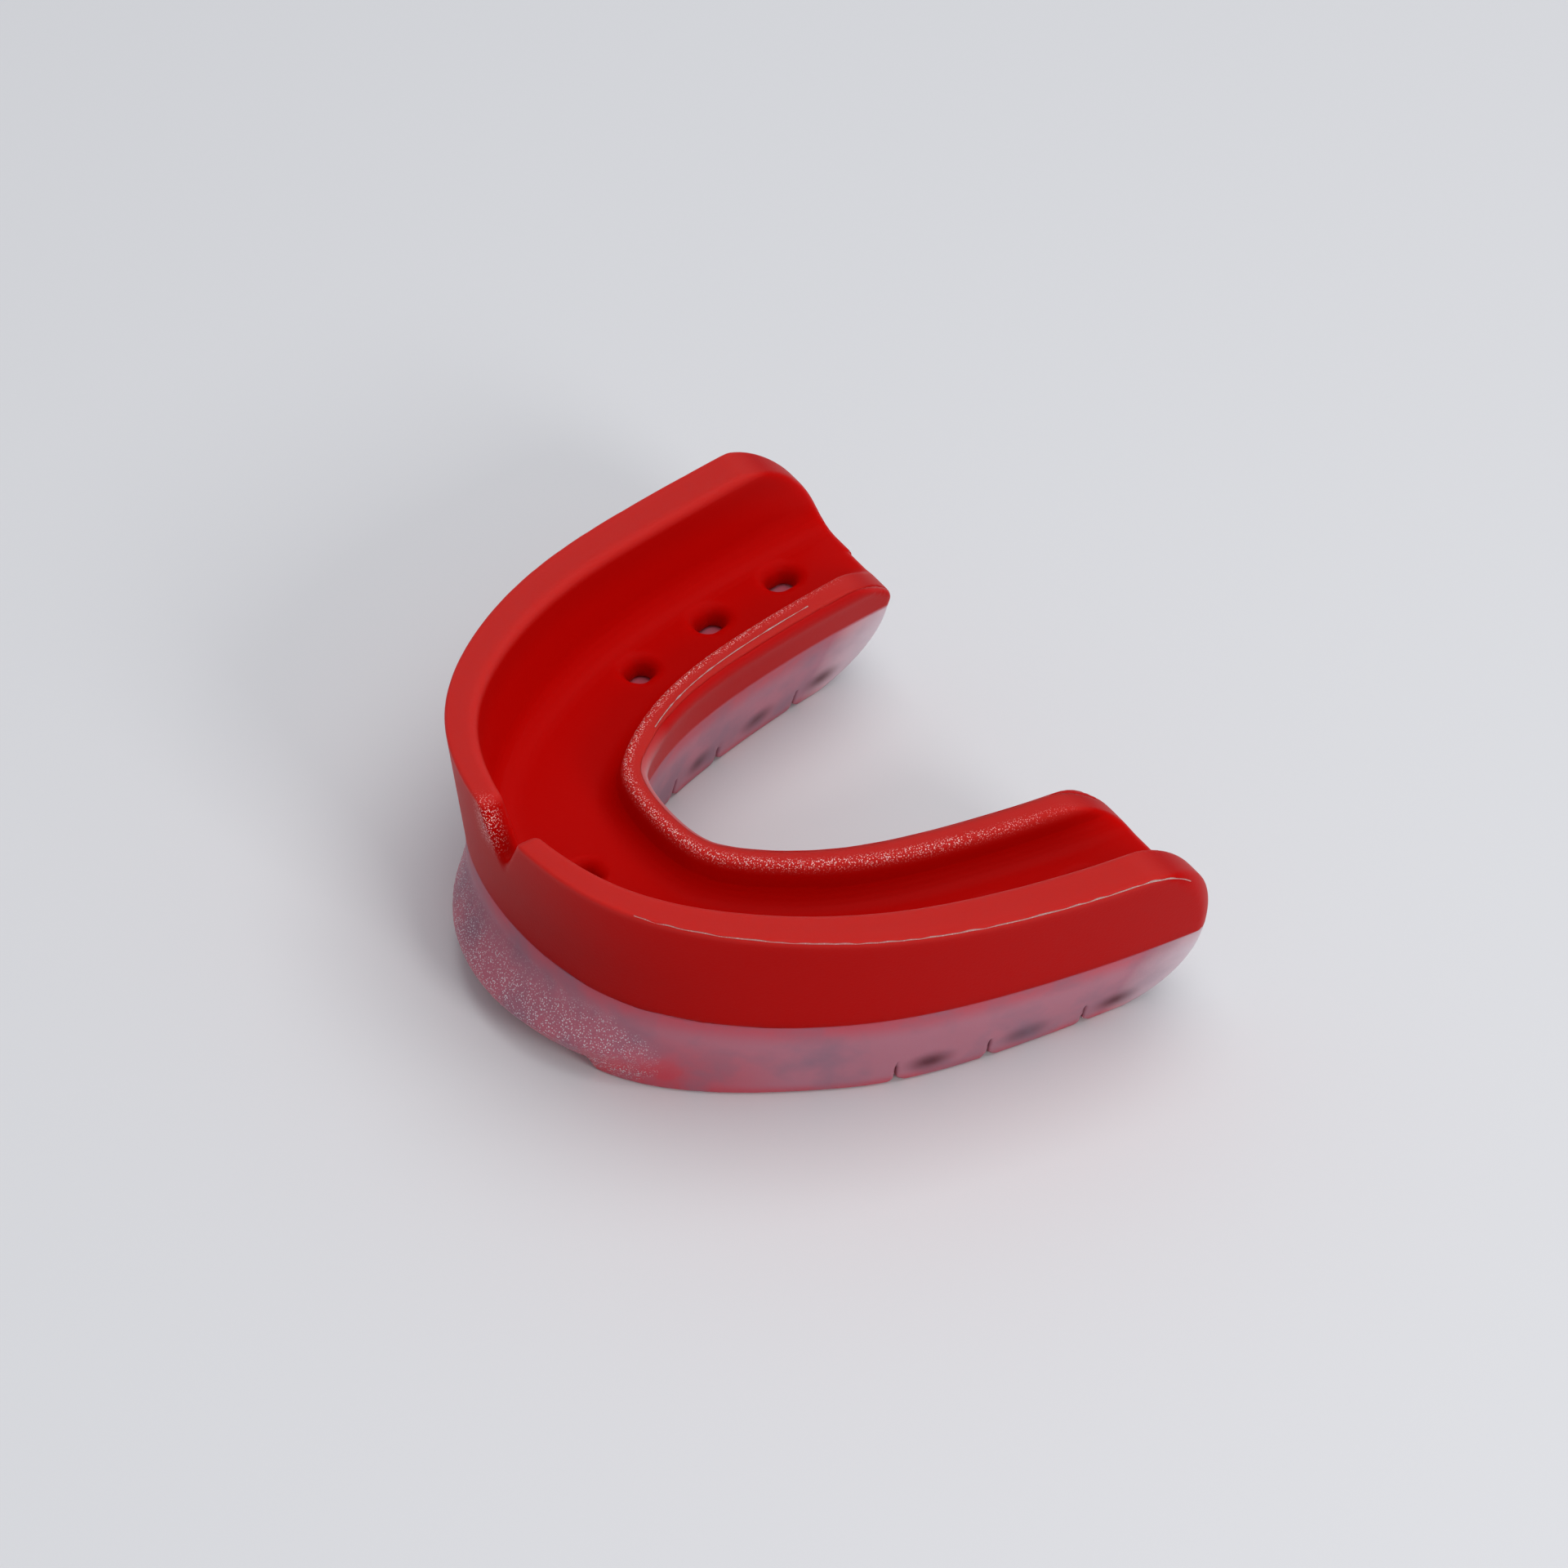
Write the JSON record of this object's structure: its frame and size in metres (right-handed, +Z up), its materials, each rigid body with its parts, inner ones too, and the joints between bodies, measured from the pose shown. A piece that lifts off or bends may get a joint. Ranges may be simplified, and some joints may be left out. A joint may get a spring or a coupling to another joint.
{
  "type": "mouthguard",
  "caption": "Boil-and-bite mouthguard: a U-shaped tooth channel with a lip relief notch and breathing holes, bonded into a clear base.",
  "frame": {"origin": "middle of the footprint on the flat underside of the base", "axes": "+Z up towards the upper teeth, -Y the front of the arch where the lip notch is, X across the arms"},
  "size_m": [0.0582, 0.0474, 0.0199],
  "materials": {
    "red_eva": "soft satin moulded EVA",
    "clear_eva": "frosted clear moulded EVA"
  },
  "bodies": {
    "root": {"upper_channel": "red_eva", "clear_base": "clear_eva"}
  },
  "joints": []
}
